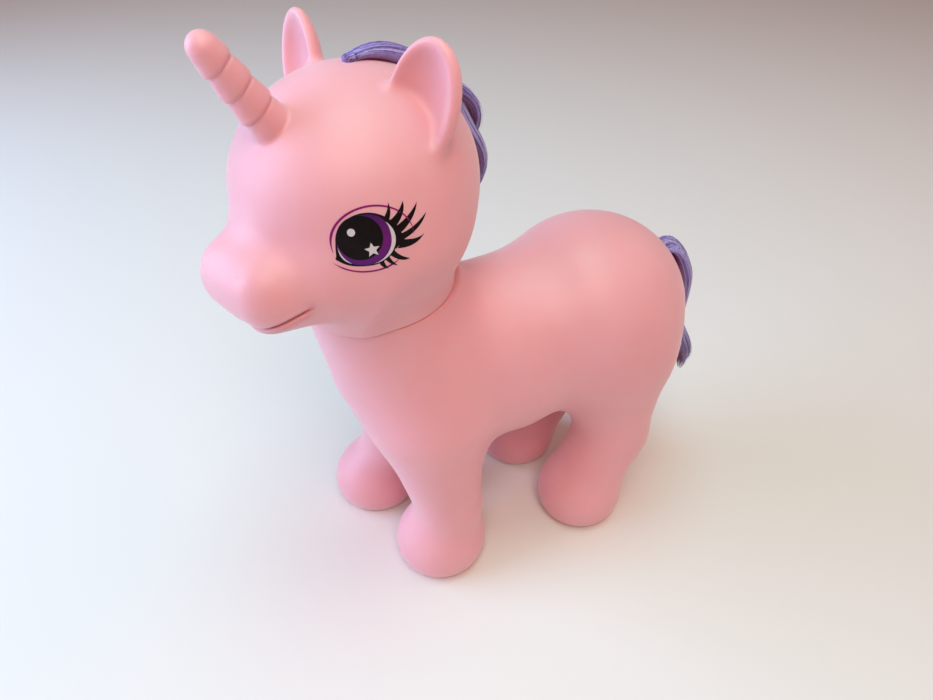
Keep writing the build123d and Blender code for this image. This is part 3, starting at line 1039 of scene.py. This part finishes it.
# Down from the root: the left side, the right side, and the middle over them.
TAIL_LOCKS = (
    ((2.2, 95.5, 151), (4.2, 100.4, 151.8), (6.2, 104.6, 147.4), (7, 107.2, 140), (7, 109, 131),
     (6.5, 109.5, 118), (6.5, 109.5, 105), (7, 113, 94), (8, 117, 84), (9, 119.6, 75), (9.5, 119.6, 67)),
    ((-2.2, 95.5, 151), (-4.2, 100, 151.6), (-6.2, 103.8, 147), (-7, 106, 140), (-7, 107.5, 129),
     (-5, 107.5, 115), (-3, 107, 101), (-1, 110.5, 89), (1, 116, 79), (2, 120, 72)),
    ((0, 93, 153), (0, 97.5, 155), (0, 102.6, 152.3), (0.5, 107.6, 145), (1, 110.8, 135), (1.5, 110.6, 121),
     (2.5, 111, 108), (4, 115, 96), (5.5, 120.5, 85), (6, 124.4, 76), (5, 123.5, 66)),
)
RUMP_MIDDLE = (0, 90, 110)                          # the tail's outer side faces away from here,
TAIL_TURN = 0.3                                     # and only this much of that to the sides
TAIL_SEED = 31


def tail_lock(number, points):
    line = along_path(points, 44)
    outward = (line - RUMP_MIDDLE) * (TAIL_TURN, 1, 1)
    outward /= np.linalg.norm(outward, axis=1)[:, None]
    t = np.linspace(0, 1, len(line))
    taper = np.sqrt(np.clip(1 - t ** 4, 0.02, 1))
    width = (2.4 + 2.8 * smooth(4 * t) + 1.4 * smooth(2 * t - 0.8)) * taper
    thick = (1.6 + 2.0 * smooth(4 * t)) * taper
    return lock("tail_lock_%d" % (number + 1), line, outward, width, thick, TAIL_SEED + number)


# ------------------------------------------------------------------ pieces
vinyl = soft_vinyl()
hair = doll_hair()
thread = wound_thread()

body_skin = skin("body_skin", body, (-60, -112, -4), (60, 110, 182), BODY_STEP)
body_skin.data.materials.append(vinyl)
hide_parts("body_shell")
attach(body_skin, "body")

head_skin = skin("head_skin", head, (-54, -134, 160), (62, 2, 290), HEAD_STEP)
head_skin.data.materials.append(vinyl)
# painted shade in the mouth's crease, on the lower lip and in the dimples
paint_mouth_shade(head_skin)
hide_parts("head_shell")
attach(head_skin, "head")

eye_middle = from_head(EYE_CENTRE)[2] * MM
iris_half = 9 * MM
inks = [None] * 4
inks[BLACK] = print_ink("eye_black_ink", srgb(14, 9, 10), srgb(20, 12, 14))
inks[IRIS] = iris_ink(eye_middle - iris_half, eye_middle + iris_half)
inks[MAGENTA] = print_ink("eyelid_magenta_ink", srgb(134, 12, 98), srgb(144, 18, 106))
inks[WHITE] = print_ink("eye_white_ink", srgb(206, 202, 204), srgb(198, 194, 196))
for side, name in ((1, "left"), (-1, "right")):
    eye, face_inks = printed_eye("eye_print_" + name, side, inks)
    tidied(eye, face_inks)
    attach(eye, "head")

for number, shape in enumerate(MANE_LOCKS):
    tuft = mane_lock(number, shape)
    tuft.data.materials.append(hair)
    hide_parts("mane_tuft_%d" % (number + 1))
    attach(tuft, "head")

for number, points in enumerate(TAIL_LOCKS):
    plume = tail_lock(number, points)
    plume.data.materials.append(hair)
    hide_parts("tail_strand_%d" % (number + 1))
    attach(plume, "body")

for node, finish in (("tail_root", hair), ("tail_band", thread)):
    for holder in frame["nodes"][node].material_slots:
        holder.material = finish


# ------------------------------------------------------------------ floor, light, camera
TOY_MIDDLE = Vector((0, -0.02, 0.14))
SENSOR = 36                                         # millimetres
PHOTO_SHAPE = 700 / 933                             # height over width
# The camera's own directions, from the height and pitch that were solved for the photograph
CAMERA_PLACE = (0.2509, -0.1218, 0.3440)
CAMERA_RIGHT = (0.3820, 0.9241, 0)
CAMERA_UP = (-0.5940, 0.2455, 0.7660)
CAMERA_BACK = (0.7079, -0.2926, 0.6428)


def pale_floor():
    bpy.ops.mesh.primitive_plane_add(size=8)
    floor = bpy.context.object
    floor.name = "floor"
    material, _, _, shader = finish_of("pale_floor")
    shader.inputs["Base Color"].default_value = srgb(226, 222, 216)
    shader.inputs["Roughness"].default_value = 0.7
    floor.data.materials.append(material)


def softbox(name, place, size, power, colour):
    """A round lamp that looks at the middle of the toy. Metres and watts."""
    data = bpy.data.lights.new(name, "AREA")
    data.shape = "DISK"
    data.size = size
    data.energy = power
    data.color = colour
    lamp = bpy.data.objects.new(name, data)
    lamp.location = place
    lamp.rotation_mode = "QUATERNION"
    lamp.rotation_quaternion = (TOY_MIDDLE - Vector(place)).to_track_quat("-Z", "Y")
    bpy.context.scene.collection.objects.link(lamp)


def room_light(strength, colour):
    world = bpy.data.worlds.new("room")
    world.use_nodes = True
    world.node_tree.nodes["Background"].inputs["Color"].default_value = colour
    world.node_tree.nodes["Background"].inputs["Strength"].default_value = strength
    bpy.context.scene.world = world


pale_floor()
softbox("window", (-0.37, -1.06, 0.55), 1.1, 17.6, (0.45, 0.66, 1.0))
softbox("ceiling", (0.70, -0.20, 1.20), 0.8, 8.8, (1.0, 0.83, 0.70))
softbox("overhead", (0, 0, 1.45), 0.8, 7.8, (0.42, 0.98, 1.0))
softbox("rear", (0.2, 0.8, 1.1), 0.8, 2.4, (1.0, 0.5, 0.45))
room_light(0.30, (1.0, 0.58, 0.53, 1))

camera = bpy.data.objects.new("camera", bpy.data.cameras.new("camera"))
camera.location = CAMERA_PLACE
camera.data.sensor_width = SENSOR
camera.data.lens = SENSOR * PHOTO_SHAPE
camera.rotation_mode = "QUATERNION"
camera.rotation_quaternion = Matrix((CAMERA_RIGHT, CAMERA_UP, CAMERA_BACK)).transposed().to_quaternion()
camera.data.clip_start = 0.01
bpy.context.scene.collection.objects.link(camera)
bpy.context.scene.camera = camera
bpy.context.scene.view_settings.view_transform = "Standard"
